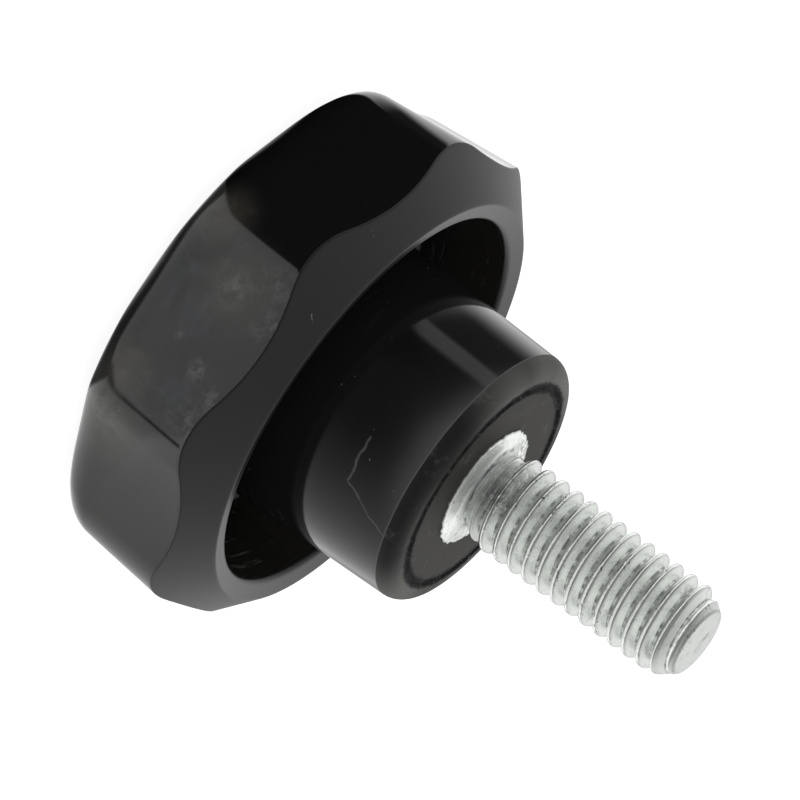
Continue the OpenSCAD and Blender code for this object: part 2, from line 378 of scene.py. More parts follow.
def head_rings(s):
    """Rings of the head from the front face to the insert's seat, as (place, zone, edge) rows.

    place(angle) gives (radius, height), zone is the finish from the ring before, and edge says
    that the ring is an edge to soften.
    """
    fall = math.tan(s.rim_fall)
    mouth = s.head_depth - s.land_dip
    rows = []
    feet = {}

    def along(place, shares, zone=GLOSS, edge=False):
        """Adds a ring at each share of the way along a part of the outline."""
        rows.extend((lambda turn, k=share: place(turn, k), zone, edge) for share in shares)

    def circles(points, zone=GLOSS, edge=False):
        """Adds true circles, given as (radius, height) points."""
        rows.extend((lambda turn, p=point: p, zone, edge) for point in points)

    def foot(turn):
        """The side's foot at an angle, and the height at which the rim cuts the side there."""
        key = round(turn, 9)
        if key not in feet:
            wave = crossing(lambda z: lobe_radius(s, turn, z) - s.rim_r - (s.head_depth - z) / fall,
                            s.side_round, s.head_depth)
            feet[key] = (*side_foot(s, turn), wave)
        return feet[key]

    def on_front(turn, share):
        lift = -math.pi / 2 + (foot(turn)[0] + math.pi / 2) * share
        return (s.flat_r + s.front_round * math.cos(lift), s.front_round * (1 + math.sin(lift)))

    def on_foot(turn, share):
        leave, reach, middle = foot(turn)[:3]
        lift = leave + (reach - leave) * share
        return (middle[0] + s.side_round * math.cos(lift), middle[1] + s.side_round * math.sin(lift))

    def on_side(turn, share):
        low, wave = on_foot(turn, 1)[1], foot(turn)[3]
        z = low + (wave - low) * share
        return (lobe_radius(s, turn, z), z)

    def on_rim(turn, share):
        r, z = on_side(turn, 1)
        return (r + (s.rim_r - r) * share, z + (s.head_depth - z) * share)

    def on_wall(z):
        return (drafted(s.hollow_r, s.wall_draft, z - mouth), z)

    def on_hub(z):
        return (drafted(s.hub_r, -s.hub_draft, z - HUB_TOP), z)

    circles((s.flat_r * share, 0) for share in FLAT_RINGS)
    along(on_front, [step / FRONT_STEPS for step in range(1, FRONT_STEPS + 1)])
    along(on_foot, [step / FOOT_STEPS for step in range(1, FOOT_STEPS)])
    along(on_side, SIDE_RINGS)
    along(on_side, [1], edge=True)
    along(on_rim, RIM_RINGS, TRIMMED)
    circles([(s.rim_r, s.head_depth)], TRIMMED, True)

    round_z = s.web + s.floor_round
    land = rounded([(s.rim_r, s.head_depth), (s.hollow_r, mouth), on_wall(round_z)],
                   [s.mouth_round], MOUTH_STEPS)
    circles([land[0].lerp(land[1], share) for share in LAND_RINGS] + land[1:-1], TRIMMED)
    circles(on_wall(mouth + (round_z - mouth) * share) for share in WALL_RINGS)
    down = -math.pi / 2
    outer_at = on_wall(round_z)[0] - s.floor_round / math.cos(s.wall_draft)
    circles(arc((outer_at, round_z), s.floor_round, -s.wall_draft, down, ROUND_STEPS))
    inner_at = on_hub(round_z)[0] + s.floor_round / math.cos(s.hub_draft)
    circles(arc((inner_at, round_z), s.floor_round, down, -math.pi + s.hub_draft, ROUND_STEPS))
    end_z = HUB_TOP - s.hub_round
    circles(on_hub(round_z + (end_z - round_z) * share) for share in HUB_RINGS)
    end_at = on_hub(end_z)[0] - s.hub_round / math.cos(s.hub_draft)
    for point in arc((end_at, end_z), s.hub_round, s.hub_draft, math.pi / 2, ROUND_STEPS):
        circles([point], HUB_END if point[1] > HUB_TOP - s.hub_round * HUB_END_FROM else GLOSS)

    def on_groove(turn, number, out, down):
        """The ring groove strays from a true circle, and its depth changes round it."""
        stray = sum(math.sin(turn * waves + number * start) for waves, start in GROOVE_WAVES)
        depth = down * (1 + DEPTH_CHANGE * math.sin(turn * DEPTH_WAVES + number))
        return (s.ring_r + out + s.ring_rough * stray / len(GROOVE_WAVES), HUB_TOP - depth)

    half, floor, deep = s.ring_w / 2, s.ring_w / 2 * GROOVE_FLOOR, s.ring_depth
    circles([(s.ring_r + half + GROOVE_EDGE, HUB_TOP)], HUB_END)
    groove = (1, half, 0), (2, floor, deep), (3, -floor, deep), (4, -half, 0)
    along(lambda turn, row: on_groove(turn, *row), groove, HUB_END)
    circles([(s.ring_r - half - GROOVE_EDGE, HUB_TOP)], HUB_END)
    circles([(r, HUB_TOP) for r in (*END_RINGS, s.seat_r + SEAT_EDGE, s.seat_r)], HUB_END)
    circles([(s.seat_r, HUB_TOP - s.seat_depth)], HUB_END)
    return rows


def paint_zones(piece, zones):
    """Gives each face the material of the zone between its two rings."""
    shape = bmesh.from_edit_mesh(piece.data)
    layer = shape.verts.layers.int["ring"]
    for face in shape.faces:
        face.material_index = zones[max(vert[layer] for vert in face.verts)]
    bmesh.update_edit_mesh(piece.data)


class STARKNOB_OT_head(bpy.types.Operator):
    """Model the lobed head with its hollow and hub"""
    bl_idname = "star_knob.head"
    bl_label = "Moulded Head"

    def execute(self, context):
        s = context.scene.star_knob_head
        places, zones, edges = zip(*head_rings(s))
        piece = new_ring("moulded_head", s.around, s.lobe_r / 4)
        place_ring(piece, places[0], 0)
        for number, place in enumerate(places[1:], 1):
            next_ring(piece, place, number)
        close_ring(piece, HUB_TOP - s.seat_depth)
        select_rings(piece, {0})
        close_ring(piece, 0)
        paint_zones(piece, zones)
        select_rings(piece, {number for number, edge in enumerate(edges) if edge})
        bpy.ops.mesh.bevel(offset=s.edge_break, segments=3, affect="EDGES")
        finish_piece(piece, [gloss_moulding(), trimmed_moulding(), hub_end_moulding()])
        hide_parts("knob_head")
        return {"FINISHED"}


# ---- stud

LINE_STEPS = 3  # steps in each rounding of the thread's outline
BELOW, SPARE = 2, 3  # turns that the thread starts below the hub's end, and has over
FADED = 0.25  # share of the thread's depth that is left where it runs out
TIP_LEAN, TIP_STEPS = math.radians(35), 6  # where the tip's rounding starts, and its steps
TIP_RINGS = (0.8, 0.6, 0.3)  # rings of the end face, as shares of its radius
FLARE_STEPS = 8
COLLAR_STEP = 0.6 * MM  # how far the collar's lower side lies inside its mean radius
COLLAR_RINGS = ((0.35, 0), (0.7, 0), (0.88, 0.08), (0.97, 0.4), (1, 1))  # shares out, and down
COLLAR_WAVES = ((3, 0.4, 0.3), (7, 0.6, 0.2), (17, 2.1, 0.2), (31, 0.2, 0.3), (43, 1.7, 0.3))


def thread_line(s):
    """One pitch of the thread, from root to root, as (radius, height) points."""
    root_r = s.thread_r - s.thread_depth
    flank_w = s.thread_depth * math.tan(s.flank)
    crest = s.crest_w / 2
    corners = [(root_r, 0), (root_r, s.pitch / 2 - crest - flank_w),
               (s.thread_r, s.pitch / 2 - crest), (s.thread_r, s.pitch / 2 + crest),
               (root_r, s.pitch / 2 + crest + flank_w), (root_r, s.pitch)]
    return rounded(corners, [s.root_round, s.crest_round, s.crest_round, s.root_round], LINE_STEPS)


def draw_line(name, points):
    """An edge chain through (radius, height) points, extruded from a single vertex."""
    piece = new_plane(name, MM)
    edit_points()
    bpy.ops.mesh.merge(type="CENTER")
    start = points[0]
    bpy.ops.transform.translate(value=(start[0], 0, start[1]))
    for before, point in zip(points, points[1:]):
        step = (point[0] - before[0], 0, point[1] - before[1])
        bpy.ops.mesh.extrude_vertices_move(TRANSFORM_OT_translate={"value": step})
    bpy.ops.object.mode_set(mode="OBJECT")
    return piece


def sweep_thread(piece, s, turns):
    """Screws the thread's line up and round the axis."""
    screw = piece.modifiers.new("Thread", "SCREW")
    screw.axis = "Z"
    screw.angle = math.tau
    screw.screw_offset = s.pitch
    screw.iterations = turns
    screw.steps = screw.render_steps = s.around
    bpy.ops.object.modifier_apply(modifier=screw.name)
    bpy.ops.object.mode_set(mode="EDIT")
    bpy.ops.mesh.select_all(action="SELECT")
    bpy.ops.mesh.remove_doubles(threshold=TOUCHING)
    bpy.ops.object.mode_set(mode="OBJECT")


def trim_thread(piece, s, start, root_r):
    """Cuts the thread off at both ends, chamfers the tip and fades the thread in."""
    bpy.ops.object.mode_set(mode="EDIT")
    end = STUD_HIGH.z - s.tip_round
    for height, inner, outer in ((start, True, False), (end, False, True)):
        bpy.ops.mesh.select_all(action="SELECT")
        bpy.ops.mesh.bisect(plane_co=(0, 0, height), plane_no=(0, 0, 1), use_fill=False,
                            clear_inner=inner, clear_outer=outer, threshold=LEVEL)
    shape = bmesh.from_edit_mesh(piece.data)
    slope = (s.thread_r - s.tip_r) / s.tip_chamfer
    for vert in shape.verts:
        radius = math.hypot(vert.co.x, vert.co.y)
        share = min(1, max(0, (vert.co.z - start) / s.fade))
        rise = share * share * (3 - 2 * share)
        wanted = root_r + (radius - root_r) * (FADED + (1 - FADED) * rise)
        chamfer = s.tip_r + (end - vert.co.z) * slope
        wanted = (wanted + chamfer - math.hypot(wanted - chamfer, s.tip_soft)) / 2
        vert.co.x *= wanted / radius
        vert.co.y *= wanted / radius
    bmesh.update_edit_mesh(piece.data)


def close_tip(piece, s):
    """Rounds the edge of the end face and closes it."""
    start_z = STUD_HIGH.z - s.tip_round
    select_level(piece, start_z)
    end_r = s.tip_r - s.tip_soft / 2
    middle = (end_r - s.tip_round, start_z)
    round_rings(piece, arc(middle, s.tip_round, TIP_LEAN, math.pi / 2, TIP_STEPS))
    round_rings(piece, [(end_r * share, STUD_HIGH.z) for share in TIP_RINGS])
    close_ring(piece, STUD_HIGH.z)


def add_collar(piece, s, base, root_r):
    """Flares the shank out to the ragged collar and closes it in its seat."""
    def edge(turn):
        """Radius of the collar's torn edge."""
        return s.collar_r + s.collar_ragged * sum(
            size * math.sin(turn * count + start) for count, start, size in COLLAR_WAVES)

    select_level(piece, base + s.flare)
    flared = root_r + s.flare
    round_rings(piece, arc((flared, base + s.flare), s.flare, math.pi, math.pi * 1.5, FLARE_STEPS)[1:])
    for out, drop in COLLAR_RINGS:
        next_ring(piece, lambda turn, k=out, d=drop:
                  (flared + (edge(turn) - flared) * k, base - s.collar_proud * d))
    seat = HUB_TOP - s.collar_sunk
    inner = s.collar_r - COLLAR_STEP
    round_rings(piece, [(inner, HUB_TOP), (inner, seat)])
    close_ring(piece, seat)


class STARKNOB_OT_stud(bpy.types.Operator):
    """Model the threaded stud with its bright collar"""
    bl_idname = "star_knob.stud"
    bl_label = "Threaded Stud"

    def execute(self, context):
        s = context.scene.star_knob_stud
        base = HUB_TOP + s.collar_proud
        root_r = s.thread_r - s.thread_depth
        piece = draw_line("zinc_stud", thread_line(s))
        sweep_thread(piece, s, math.ceil((STUD_HIGH.z - HUB_TOP) / s.pitch) + SPARE)
        for vert in piece.data.vertices:
            turned = Matrix.Rotation(s.phase, 3, "Z") @ vert.co
            vert.co = turned + Vector((0, 0, HUB_TOP - BELOW * s.pitch))
        trim_thread(piece, s, base + s.flare, root_r)
        close_tip(piece, s)
        add_collar(piece, s, base, root_r)
        finish_piece(piece, [zinc_plate()])
        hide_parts("threaded_stud")
        return {"FINISHED"}


# ---- shader tools

def is_socket(value):
    return isinstance(value, bpy.types.NodeSocket)


def fill(inputs, values):
    """Sets inputs to values, or links them, by name or number."""
    for name, value in values.items():
        if is_socket(value):
            value.id_data.links.new(value, inputs[name])
        else:
            inputs[name].default_value = value


def source(tree, kind):
    """Adds a node that nothing feeds, and gives its outputs."""
    return tree.nodes.new("ShaderNode" + kind).outputs


def node(kind, values, **settings):
    """Adds a node beside those that feed it, with its settings made and its inputs filled."""
    tree = next(value.id_data for value in values.values() if is_socket(value))
    made = tree.nodes.new("ShaderNode" + kind)
    for name, value in settings.items():
        setattr(made, name, value)
    fill(made.inputs, values)
    return made.outputs


def reckon(operation, first, second=0.0, clamp=False):
    """What one operation makes of one or two values."""
    return node("Math", {0: first, 1: second}, operation=operation, use_clamp=clamp)[0]


def together(operation, values):
    """Several values put together by one operation, from left to right."""
    total = values[0]
    for value in values[1:]:
        total = reckon(operation, total, value)
    return total


def times(*values):
    return together("MULTIPLY", values)


def plus(*values):
    return together("ADD", values)


def most(*values):
    return together("MAXIMUM", values)


def less(first, second):
    return reckon("SUBTRACT", first, second)


def ease(value, low, high, start=0.0, end=1.0):
    """A soft step from start to end, as the value goes from low to high."""
    limits = {"Value": value, "From Min": low, "From Max": high, "To Min": start, "To Max": end}
    return node("MapRange", limits, interpolation_type="SMOOTHSTEP")["Result"]


def fade(value, low, high):
    """1 up to low, and from there softly down to 0 at high."""
    return ease(value, low, high, 1.0, 0.0)


def between(value, rise, risen, fall, fallen):
    """0 up to a rise, 1 where it has risen, and back to 0 as it falls."""
    return times(ease(value, rise, risen), fade(value, fall, fallen))


def across(value, low, high, soft):
    """1 between two limits, with a soft edge at each."""
    return between(value, low - soft, low + soft, high - soft, high + soft)


def opaque(colour_in):
    """A colour with its alpha, or a socket as it is."""
    return colour_in if is_socket(colour_in) else (*colour_in, 1)


def tint(plain, *layers):
    """The plain colour with others laid over it in turn, as (share, colour) pairs."""
    for share, other in layers:
        plain = node("Mix", {0: share, 6: opaque(plain), 7: opaque(other)}, data_type="RGBA")[2]
    return plain


def stretch(place, scale, turn=(0, 0, 0), shift=(0, 0, 0)):
    """A place that is turned and stretched, for a pattern that runs one way."""
    return node("Mapping", {"Vector": place, "Location": shift, "Rotation": turn, "Scale": scale})[0]


def in_millimetres(tree):
    """The place on the object, in millimetres."""
    return stretch(source(tree, "TexCoord")["Object"], (1 / MM, 1 / MM, 1 / MM))


def cloud(place, scale, detail=3.0, rough=0.55, swirl=0.0):
    """Cloudy noise, with a scale in patches per millimetre."""
    return node("TexNoise", {"Vector": place, "Scale": scale, "Detail": detail,
                             "Roughness": rough, "Distortion": swirl})["Fac"]


def split(place):
    """The three parts of a place."""
    return node("SeparateXYZ", {0: place})


def bearing(parts):
    """Turn round the axis, in radians."""
    return reckon("ARCTAN2", parts[1], parts[0])


def axis_distance(place):
    """Distance from the knob's axis, and height up it, both in millimetres."""
    parts = split(place)
    square = plus(times(parts[0], parts[0]), times(parts[1], parts[1]))
    return reckon("SQRT", square), parts[2]


def new_effect(name, inputs, outputs):
    """A node group for a shared effect, with the outputs of its start and the inputs of its end."""
    tree = bpy.data.node_groups.new(name, "ShaderNodeTree")
    for label, value in inputs.items():
        kind = "NodeSocketVector" if value is None else "NodeSocketFloat"
        socket = tree.interface.new_socket(label, in_out="INPUT", socket_type=kind)
        if value is not None:
            socket.default_value = value
    for label in outputs:
        tree.interface.new_socket(label, in_out="OUTPUT", socket_type="NodeSocketFloat")
    return tree.nodes.new("NodeGroupInput").outputs, tree.nodes.new("NodeGroupOutput").inputs


def put(name, values):
    """Places a shared effect in a material, with its own values, and builds it the first time."""
    if name not in bpy.data.node_groups:
        EFFECTS[name]()
    return node("Group", values, node_tree=bpy.data.node_groups[name])


# ---- shared effects

def make_handling_film():
    """Cloudy film that hands and wiping leave: 0 where clean, 1 where thick."""
    given, result = new_effect("handling_film", {"Place": None, "Scale": 0.3, "Cover": 0.5}, ["Film"])
    patches = cloud(given["Place"], given["Scale"], detail=4, rough=0.6, swirl=0.7)
    wiped = stretch(given["Place"], (0.6, 0.6, 1.7), turn=(0.5, 0.3, 0.9))
    wipes = cloud(wiped, given["Scale"], detail=6, rough=0.65)
    both = plus(times(patches, 0.6), times(wipes, 0.4))
    low = less(0.7, times(given["Cover"], 0.4))
    fill(result, {"Film": ease(both, low, plus(low, 0.24))})


def make_small_marks():
    """Scattered small marks, such as dust, pits and, where the place is stretched, hair scratches."""
    given, result = new_effect("small_marks", {"Place": None, "Scale": 1.0, "Size": 0.06, "Share": 0.5},
                               ["Mark"])
    bent = cloud(given["Place"], 2.0, detail=1)
    place = node("VectorMath", {0: given["Place"], 1: bent}, operation="ADD")[0]
    cells = node("TexVoronoi", {"Vector": place, "Scale": given["Scale"]})
    draws = node("SeparateColor", {0: cells["Color"]})
    picked = reckon("LESS_THAN", draws[0], given["Share"])
    varied = node("MapRange", {"Value": draws[1], "To Min": 0.4, "To Max": 1.0})["Result"]
    size = times(given["Size"], varied)
    mark = fade(cells["Distance"], times(size, 0.6), size)
    fill(result, {"Mark": times(mark, picked)})


def make_worn_grain():
    """Grain of a trimmed or matt face: its height, and where it is scuffed."""
    given, result = new_effect("worn_grain", {"Place": None, "Scale": 3.0, "Scuffs": 0.5},
                               ["Height", "Scuff"])
    fine = cloud(given["Place"], given["Scale"], detail=5, rough=0.7)
    broad = cloud(given["Place"], times(given["Scale"], 0.18), detail=4, rough=0.65, swirl=0.5)
    low = less(0.72, times(given["Scuffs"], 0.3))
    scuff = ease(broad, low, plus(low, 0.2))
    height = times(fine, plus(times(scuff, 1.5), 0.5))
    fill(result, {"Height": height, "Scuff": times(scuff, ease(fine, 0.35, 0.65))})


EFFECTS = {
    "handling_film": make_handling_film,
    "small_marks": make_small_marks,
    "worn_grain": make_worn_grain,
}


def handling_film(place, scale, cover):
    return put("handling_film", {"Place": place, "Scale": scale, "Cover": cover})["Film"]


def small_marks(place, scale, size, share):
    return put("small_marks", {"Place": place, "Scale": scale, "Size": size, "Share": share})["Mark"]


def worn_grain(place, scale, scuffs):
    grain = put("worn_grain", {"Place": place, "Scale": scale, "Scuffs": scuffs})
    return grain["Height"], grain["Scuff"]


# ---- materials

MOULDING_IOR = 1.58
HUB_END_SHINE = {"IOR": 1.42, "Specular IOR Level": 0.42}
ZINC_METAL = 0.75

# How high one part of each material's height stands
GLOSS_BUMP, TRIMMED_BUMP, HUB_END_BUMP, ZINC_BUMP = (h * MM for h in (0.004, 0.006, 0.008, 0.02))

# Where effects lie, in millimetres from the axis or above the front face. A pair is a soft step,
# three are two limits and their soft edge, and four are where it rises, has risen, falls, has fallen
# On the hollow's wall, the film is painted sheen and the streaks are painted highlights.
WALL_SHEEN_ACROSS, WALL_SHEEN_UP = (11.4, 12.25, 0.1), (4.2, 7.0, 10.3, 10.8)
STREAK_HIGHLIGHTS_ACROSS, STREAK_HIGHLIGHTS_UP = (11.5, 12.15, 0.1), (5.5, 9.9, 0.2)
LAND_STEP = (13.1, 13.3)
OUTER_BAND = (6.9, 7.4)
WORN_BAND = (6.6, 7.0)
END_FACE = (STUD_HIGH.z / MM - 0.2, STUD_HIGH.z / MM - 0.1)

# The knit line: its height, how far it wanders, the turn in degrees from which it climbs and how
# fast, the turns between which it runs, its soft half width and the radius that it stays inside
KNIT_Z, KNIT_WANDER, KNIT_BEND, KNIT_CLIMB = 14.5, 1.5, -43, 0.25
KNIT_TURNS, KNIT_WIDTH, KNIT_REACH = (-62, -31, 2), (0.03, 0.12), 9.0

# Where the gloss was held: middle and reach in millimetres, and how thick the film is there.
# The bluish film is on one side, and the warm film round it and on the side opposite.
BLUISH = ((3.6, -14.1, 2.6, 4.5, 0.5), (5.4, -13.4, 4.2, 4.0, 0.45), (10.0, -11.8, 5.4, 4.0, 0.4),
          (-9.0, 11.5, 5.0, 9.0, 0.5))
# The warm spot at (12.2, -8.6, 2.1) is painted light more than film: a painted pool of light on the
# facet beside the foot.
WARM_FILM_AND_LIGHT = ((1.1, -15.1, 2.4, 2.8, 1.0), (10.3, -11.4, 2.7, 2.8, 1.0), (12.2, -8.6, 2.1, 5.0, 1.0),
        (3.6, -14.4, 5.6, 3.6, 0.7), (7.6, -12.6, 3.0, 3.0, 0.25), (15.0, -2.0, 4.0, 5.0, 0.2),
        (-13.0, -7.0, 5.0, 6.0, 0.3), (4.0, 14.5, 5.0, 8.0, 0.5), (-7.6, -0.6, 18.2, 3.6, 0.9),
        (7.7, 1.4, 18.2, 3.6, 0.9), (3.0, 7.3, 18.2, 3.0, 0.5))
SMUDGES = ((12.1, -9.0, 2.3, 2.4, 0.6), (3.7, -14.3, 5.6, 1.6, 0.55), (7.1, -12.8, 4.2, 0.6, 0.6),
           (8.1, -12.7, 6.5, 1.1, 0.55), (4.4, -14.3, 8.4, 1.5, 0.4), (9.0, -12.6, 8.3, 1.3, 0.45),
           (10.5, -11.9, 7.4, 1.6, 0.4), (2.4, -15.2, 7.6, 1.6, 0.3))

# In the same way, where the rim is scuffed, where the hub's edge is worn pale, and where painted
# shade darkens the foot of the thread on its shaded side, beside the collar
SCUFFED = ((-13.5, -1.0, 10.0, 7.0, 1.0), (6.0, 12.5, 10.0, 6.0, 0.7))
WORN_EDGE = ((-7.4, -0.5, 18.3, 7.0, 0.75), (-6.2, -4.4, 18.4, 4.5, 0.5), (-3.6, -6.6, 18.4, 4.5, 0.4),
             (7.4, 2.0, 18.3, 5.0, 0.6), (3.0, 7.2, 18.3, 4.0, 0.5))
FOOT_SHADE = ((0.9, -2.9, 20.3, 2.1, 0.75), (-0.8, -3.0, 20.6, 2.0, 0.45), (2.6, 2.0, 19.4, 2.5, 0.5))


def new_material(name, values):
    """A Principled material with its plain values set, and the place on the knob in millimetres."""
    material = bpy.data.materials.new(name)
    material.use_nodes = True
    fill(material.node_tree.nodes["Principled BSDF"].inputs, values)
    return material, in_millimetres(material.node_tree)


def surface(material, colour_out, rough, height, distance):
    """Feeds a colour, a roughness and a height in parts of a distance to a material's shader."""
    bump = node("Bump", {"Strength": 1.0, "Distance": distance, "Height": height})[0]
    fill(material.node_tree.nodes["Principled BSDF"].inputs,
         {"Base Color": colour_out, "Roughness": rough, "Normal": bump})
    return material


def near(place, centre, reach):
    """1 at a place on the knob, fading to 0 at its reach."""
    away = node("VectorMath", {0: place, 1: centre}, operation="DISTANCE")["Value"]
    return fade(away, 0.0, reach)


def placed(place, spots):
    """The strongest of several soft spots."""
    return most(*(times(near(place, (x, y, z), reach), strength) for x, y, z, reach, strength in spots))


def knit_line(place):
    """1 on the faint wandering line where the moulding's flows met on the hub's side."""
    parts = split(place)
    turn = times(bearing(parts), math.degrees(1))
    climb = times(most(less(turn, KNIT_BEND), 0.0), KNIT_CLIMB)
    wander = times(less(cloud(place, 0.7, detail=2), 0.5), KNIT_WANDER)
    off = reckon("ABSOLUTE", less(parts[2], plus(climb, KNIT_Z, wander)))
    on_hub = reckon("LESS_THAN", axis_distance(place)[0], KNIT_REACH)
    return times(fade(off, *KNIT_WIDTH), across(turn, *KNIT_TURNS), on_hub)


def wall_streak_highlights(place):
    """1 on the painted highlight streaks round the hollow's wall, which come and go."""
    radius, rise = axis_distance(place)
    level = cloud(stretch(place, (0.12, 0.12, 2.4)), 1.0, detail=3, rough=0.6)
    comes = ease(cloud(place, 0.35, detail=2), 0.45, 0.6)
    wall = times(across(radius, *STREAK_HIGHLIGHTS_ACROSS), across(rise, *STREAK_HIGHLIGHTS_UP))
    return times(wall, ease(level, 0.56, 0.66), comes)


def gloss_moulding():
    """Glossy black with films where it was held, smudges, dust, hair scratches and a knit line, and with
    painted light: a painted pool of light in the warm film beside the foot, painted sheen on the
    hollow's wall and painted highlight streaks round it.
    """
    c = bpy.context.scene.star_knob_colours
    material, place = new_material("gloss_moulding", {"IOR": MOULDING_IOR})
    film = handling_film(place, scale=0.45, cover=0.75)
    streaks = handling_film(stretch(place, (1, 1, 0.5), shift=(40, 7, 3)), scale=0.9, cover=0.6)
    bluish = times(placed(place, BLUISH), film)
    # The warm film holds real film and a painted pool of light beside the foot.
    warm_and_lit = times(placed(place, WARM_FILM_AND_LIGHT), plus(times(streaks, 0.55), 0.45))
    broken = ease(cloud(place, 1.6, detail=5, rough=0.7), 0.42, 0.62)
    smudge = times(placed(place, SMUDGES), broken)
    radius, rise = axis_distance(place)
    # Painted sheen: a film tint that lightens the hollow's wall.
    inside = times(across(radius, *WALL_SHEEN_ACROSS), between(rise, *WALL_SHEEN_UP))
    dust = small_marks(place, scale=1.1, size=0.06, share=0.5)
    drawn_out = stretch(place, (0.9, 0.1, 0.6), turn=(0.3, 0.9, 0.5))
    hairs = small_marks(drawn_out, scale=1.0, size=0.05, share=0.5)
    line = knit_line(place)
    # The marks hold real dust, hair scratches and the knit line, and the painted highlight streaks on
    # the hollow's wall.
    marks = most(dust, times(hairs, 0.5), times(line, 0.18), times(wall_streak_highlights(place), 0.6))
    colour_out = tint(c.moulding, (bluish, c.film), (times(inside, 0.18), c.warm_film_and_sheen),
                      (warm_and_lit, c.warm_film_and_sheen), (smudge, c.smudge), (marks, c.dust))
    soiled = reckon("ADD", plus(bluish, warm_and_lit), smudge, clamp=True)
    rough = plus(times(soiled, 0.15), 0.08, times(marks, 0.4))
    wave = times(cloud(place, 0.12, detail=2), 4.0)
    height = less(plus(wave, times(dust, 4.0)), times(line, 2.0))
    return surface(material, colour_out, rough, height, GLOSS_BUMP)


def trimmed_moulding():
    """Satin black of the trimmed rim, scuffed in places."""
    c = bpy.context.scene.star_knob_colours
    material, place = new_material("trimmed_moulding", {"IOR": MOULDING_IOR})
    grain, scuff = worn_grain(place, scale=6.0, scuffs=0.3)
    pits = small_marks(place, scale=1.2, size=0.06, share=0.5)
    drawn_out = stretch(place, (0.8, 0.12, 0.6), turn=(0.2, 0.4, 1.2))
    hairs = small_marks(drawn_out, scale=1.2, size=0.06, share=0.7)
    worn = placed(place, SCUFFED)
    scuffs = most(times(hairs, worn), times(scuff, worn))
    colour_out = tint(c.trimmed, (times(scuffs, 0.3), c.dust), (times(pits, 0.7), c.dust))
    land = ease(axis_distance(place)[0], *LAND_STEP, start=0.33, end=0.36)
    rough = plus(times(scuff, 0.15), land)
    height = less(grain, times(pits, 1.5))
    return surface(material, colour_out, rough, height, TRIMMED_BUMP)


def hub_end_moulding():
    """Matte, brownish end of the hub, pitted near its edge and dark in the torn ring groove."""
    c = bpy.context.scene.star_knob_colours
    s = bpy.context.scene.star_knob_head
    material, place = new_material("hub_end_moulding", HUB_END_SHINE)
    radius = axis_distance(place)[0]
    grain, scuff = worn_grain(place, scale=4.0, scuffs=0.6)
    outer = ease(radius, *OUTER_BAND)
    pits = times(small_marks(place, scale=2.0, size=0.12, share=0.7), outer)
    ring_r, ring_w = s.ring_r / MM, s.ring_w / MM
    stray = times(less(cloud(place, 1.5, detail=4), 0.5), 0.5)
    off = reckon("ABSOLUTE", plus(less(radius, ring_r), stray))
    torn = fade(off, ring_w * 0.5, ring_w * 1.2)
    crumbs = times(torn, ease(cloud(place, 5.0, detail=3), 0.55, 0.7))
    worn = times(placed(place, WORN_EDGE), ease(radius, *WORN_BAND))
    colour_out = tint(c.hub_end, (outer, c.trimmed), (times(scuff, 0.3), c.dust),
                      (worn, c.dust), (torn, c.moulding), (times(crumbs, 0.4), c.dust),
                      (pits, c.moulding))
    rough = ease(torn, 0.0, 1.0, 0.62, 0.8)
    height = plus(less(grain, times(pits, 3.0)), times(crumbs, 6.0))
    return surface(material, colour_out, rough, height, HUB_END_BUMP)


def thread_place(place, s):
    """How far across the thread a place lies: 0 in the root, 0.5 on the crest."""
    parts = split(place)
    turn = reckon("DIVIDE", less(bearing(parts), s.phase), math.tau)
    rise = reckon("DIVIDE", less(parts[2], HUB_TOP / MM), s.pitch / MM)
    return reckon("FRACT", less(rise, turn))


def zinc_plate():
    """Bright zinc plating, grained, with pits along its crests, a darker end face, and painted shade in
    the thread's roots and at its foot.
    """
    c = bpy.context.scene.star_knob_colours
    s = bpy.context.scene.star_knob_stud
    material, place = new_material("zinc_plate", {"Metallic": ZINC_METAL})
    grain, scuff = worn_grain(place, scale=7.0, scuffs=0.6)
    marks = small_marks(stretch(place, (1, 1, 1.4)), scale=4.6, size=0.42, share=0.8)
    lies = thread_place(place, s)
    patch = ease(cloud(place, 0.45, detail=3), 0.42, 0.6)
    pits = times(marks, patch, across(lies, 0.3, 0.7, 0.08))
    # Painted shade: the thread's roots are darkened as if shaded by the crests.
    root = ease(reckon("ABSOLUTE", less(lies, 0.5)), 0.4, 0.48)
    broken = ease(cloud(place, 2.5, detail=4), 0.35, 0.65)
    end_face = ease(axis_distance(place)[1], *END_FACE)
    specks = ease(cloud(place, 4.0), 0.3, 0.55)
    # Real pits and a darker end face, with painted shade in the roots and at the foot beside the collar.
    marks_and_painted_shade = most(times(root, broken, 0.7), pits, times(end_face, 0.38),
                times(placed(place, FOOT_SHADE), specks))
    colour_out = tint(c.zinc, (times(scuff, 0.15), c.tarnish_and_shade), (marks_and_painted_shade, c.tarnish_and_shade))
    rough = plus(times(scuff, 0.12), 0.21)
    height = less(grain, times(pits, 0.3))
    return surface(material, colour_out, rough, height, ZINC_BUMP)


# ---- stage

WHITE = (1, 1, 1, 1)
FLOOR_GREY, FLOOR_GLOW = 0.35, 0.92  # the floor's colour, and its glow to seen rays
FELT_GREY = 0.01
FELT_HIGH = 0.1 * MM  # height of the felt above the floor
FELT_CLEAR = (11.9, 13.6)  # radii between which the bars end, round the knob's foot
NEAR_CLIP, FAR_CLIP = 0.01, 2  # shares of the camera's distance and of the floor's width

# The sky in reflections: how it falls off from its brightest place, what it is everywhere, its
# least, and what is added over the brightest part, which starts at a share of the way to it
SKY_SLOPE, SKY_EVEN, SKY_LEAST, SKY_BRIGHT, SKY_FROM = 0.8, 0.06, 0.05, 0.25, 0.8

